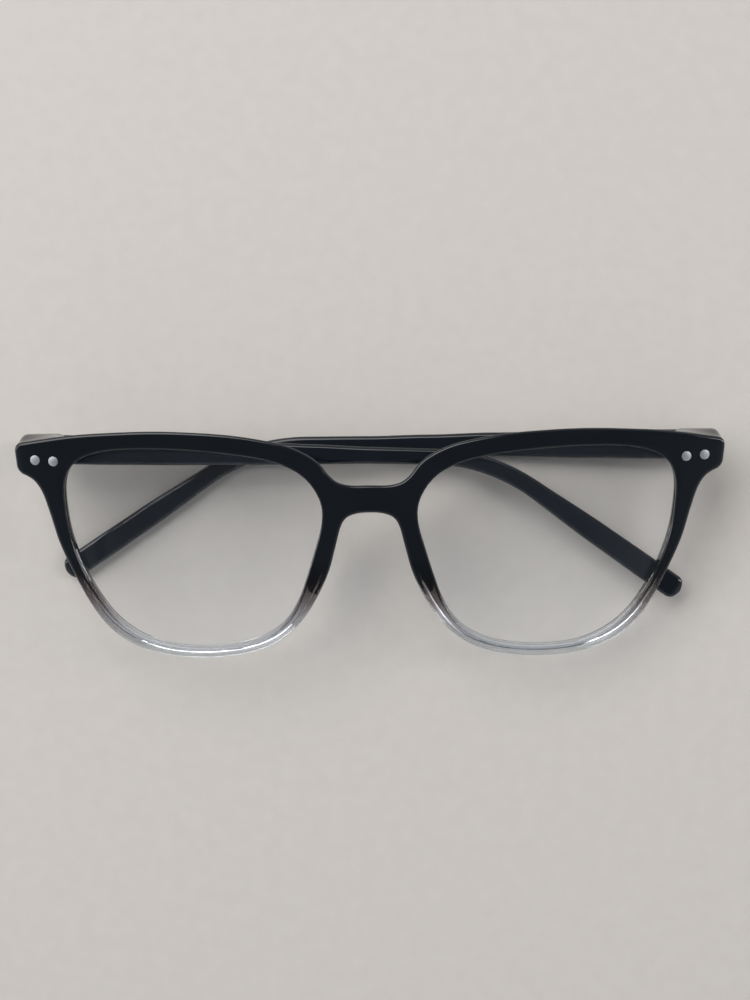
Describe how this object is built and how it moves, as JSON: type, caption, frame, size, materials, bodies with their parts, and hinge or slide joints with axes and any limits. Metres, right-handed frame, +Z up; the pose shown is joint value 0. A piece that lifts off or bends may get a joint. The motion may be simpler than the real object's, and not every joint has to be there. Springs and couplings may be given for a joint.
{
  "type": "blue light glasses",
  "caption": "Full-rim plastic spectacles with a dark-to-clear front, plano lenses and two hinged temples, folded and lying face up.",
  "frame": {"origin": "on the table under the middle of the folded glasses' box", "axes": "+X towards the wearer's left along the front, +Y towards the brow, +Z up out of the front's face"},
  "size_m": [0.1422, 0.0464, 0.0233],
  "materials": {
    "front_plastic": "glossy moulded plastic, blue-black at the brow, fading through smoke to clear at the bottom rims",
    "temple_plastic": "glossy opaque blue-black plastic",
    "lens": "clear coated plastic with a faint blue reflection",
    "nose_pad": "smooth smoky plastic, moulded like the rim behind which it sits",
    "hinge_metal": "satin nickel-plated metal",
    "wire_metal": "plain drawn metal, hidden inside the temple",
    "stud_metal": "satin silver"
  },
  "bodies": {
    "front": {"front_frame": "front_plastic", "right_lens": "lens", "left_lens": "lens", "right_nose_pad": "nose_pad", "left_nose_pad": "nose_pad", "right_front_hinge_leaf": "hinge_metal", "left_front_hinge_leaf": "hinge_metal", "right_hinge_screw": "hinge_metal", "left_hinge_screw": "hinge_metal", "right_outer_stud": "stud_metal", "right_inner_stud": "stud_metal", "left_outer_stud": "stud_metal", "left_inner_stud": "stud_metal"},
    "right_temple": {"right_temple": "temple_plastic", "right_core_wire": "wire_metal", "right_temple_hinge_leaf": "hinge_metal"},
    "left_temple": {"left_temple": "temple_plastic", "left_core_wire": "wire_metal", "left_temple_hinge_leaf": "hinge_metal"}
  },
  "joints": [
    {"name": "right_temple_hinge", "type": "hinge", "parent": "front", "child": "right_temple", "pos_m": [-0.06585, 0.01965, 0.0108], "axis": [0.0279, 0.9996, -0.0012], "range_deg": [0, 91]},
    {"name": "left_temple_hinge", "type": "hinge", "parent": "front", "child": "left_temple", "pos_m": [0.06543, 0.01965, 0.0053], "axis": [-0.0087, -1, 0.0004], "range_deg": [0, 87.6]}
  ]
}
